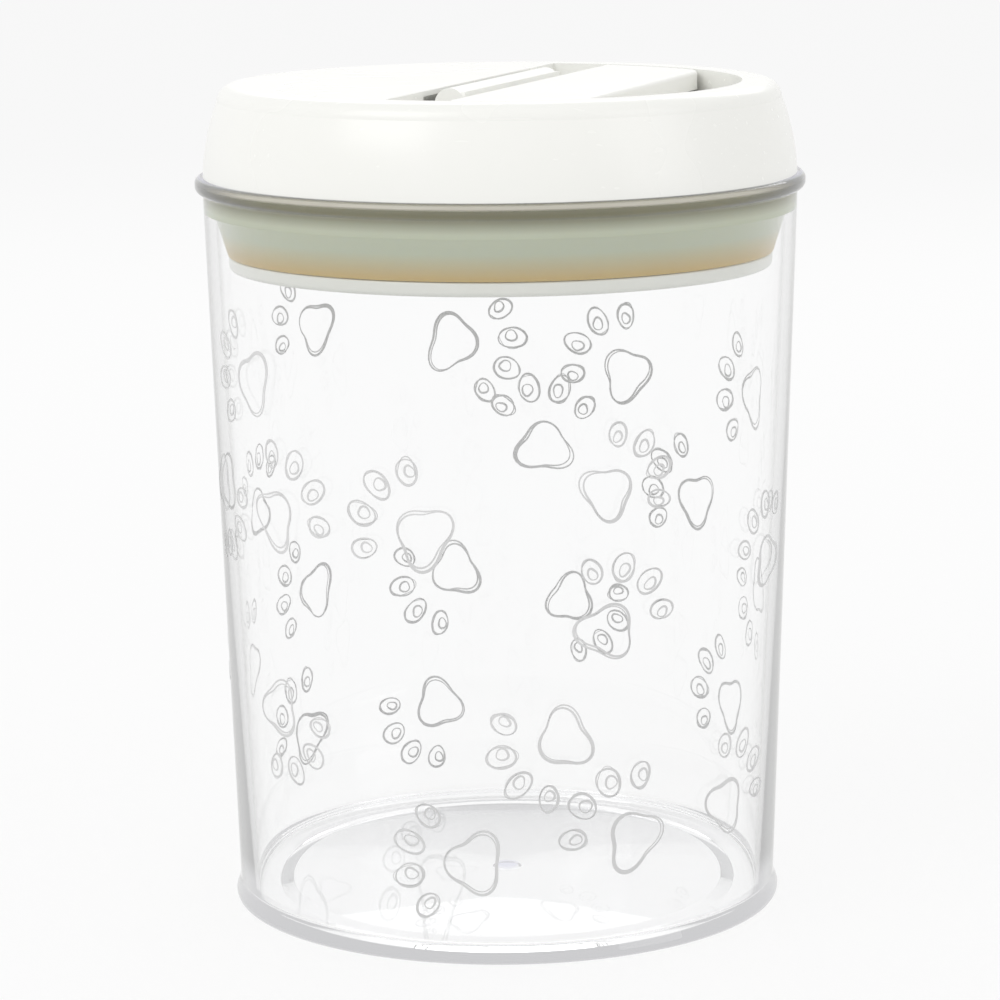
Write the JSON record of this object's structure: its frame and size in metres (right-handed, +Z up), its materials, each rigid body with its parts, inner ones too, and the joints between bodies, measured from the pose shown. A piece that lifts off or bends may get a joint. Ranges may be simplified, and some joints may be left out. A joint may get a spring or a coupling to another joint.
{
  "type": "pet treat container",
  "caption": "Round clear tapered jar with a white flip-handle lid that squeezes a silicone ring against the jar's wall.",
  "frame": {"origin": "centre of the jar's foot, on the surface it stands on", "axes": "+Z up along the jar's axis; the picture's camera looks along +Y, so -Y is the front"},
  "size_m": [0.14, 0.14, 0.1912],
  "materials": {
    "clear_plastic": "clear, polished",
    "white_plastic": "satin gloss",
    "handle_plastic": "satin gloss",
    "inner_plastic": "satin",
    "plate_plastic": "satin",
    "rod_plastic": "fine matt",
    "silicone": "translucent satin",
    "pin_steel": "ground",
    "screw_steel": "plated",
    "spring_steel": "drawn wire",
    "washer_steel": "stamped"
  },
  "bodies": {
    "jar": {"jar": "clear_plastic"},
    "lid": {"lid_cover": "white_plastic", "lid_base": "inner_plastic", "hinge_pins": "pin_steel", "cover_screws": "screw_steel", "seal": "silicone", "return_spring": "spring_steel"},
    "handle": {"flip_handle": "handle_plastic"},
    "plate": {"pressure_plate": "plate_plastic", "pull_rod": "rod_plastic", "plate_washer": "washer_steel", "plate_screw": "screw_steel", "screw_cap": "plate_plastic"}
  },
  "joints": [
    {"name": "lid_lift", "type": "slide", "parent": "jar", "child": "lid", "axis": [0, 0, 1], "range_m": [0, 0.1]},
    {"name": "handle_flip", "type": "hinge", "parent": "lid", "child": "handle", "pos_m": [0, 0, 0.1823], "axis": [-0.342, -0.9397, 0], "range_deg": [0, 90]},
    {"name": "plate_slide", "type": "slide", "parent": "lid", "child": "plate", "axis": [0, 0, 1], "range_m": [-0.003, 0], "deforming": ["seal", "return_spring"]}
  ],
  "couplings": [
    {"joint": "plate_slide", "follows": "handle_flip", "m_per_rad": -0.0019098}
  ]
}
